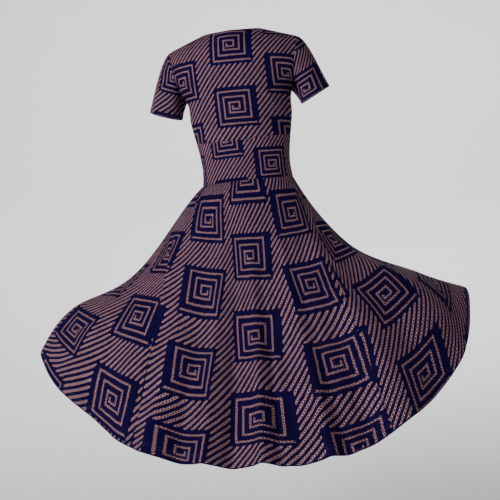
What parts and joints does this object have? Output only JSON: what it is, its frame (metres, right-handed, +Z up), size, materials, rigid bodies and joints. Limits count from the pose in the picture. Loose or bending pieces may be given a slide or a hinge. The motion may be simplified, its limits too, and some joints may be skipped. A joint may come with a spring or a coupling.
{
  "type": "midi dress",
  "caption": "Midi dress with fitted bodice, short set-in sleeves, midriff band and wide flared skirt, in a spiral and stripe print, filled out with no wearer",
  "frame": {"origin": "midway between the two neck points, at the height where the wearer's shoulders carry the dress", "axes": "+Z up; the wearer faces +Y, so the back of the dress faces -Y and the left sleeve is at -X"},
  "size_m": [1.2262, 0.7451, 1.1299],
  "materials": {
    "printed_jersey": "soft matte jersey, navy with a dusty pink print"
  },
  "bodies": {
    "root": {"bodice_back": "printed_jersey", "bodice_front": "printed_jersey", "midriff_back": "printed_jersey", "midriff_front": "printed_jersey", "skirt_back": "printed_jersey", "skirt_front": "printed_jersey", "sleeve_left": "printed_jersey", "sleeve_right": "printed_jersey"}
  },
  "joints": []
}
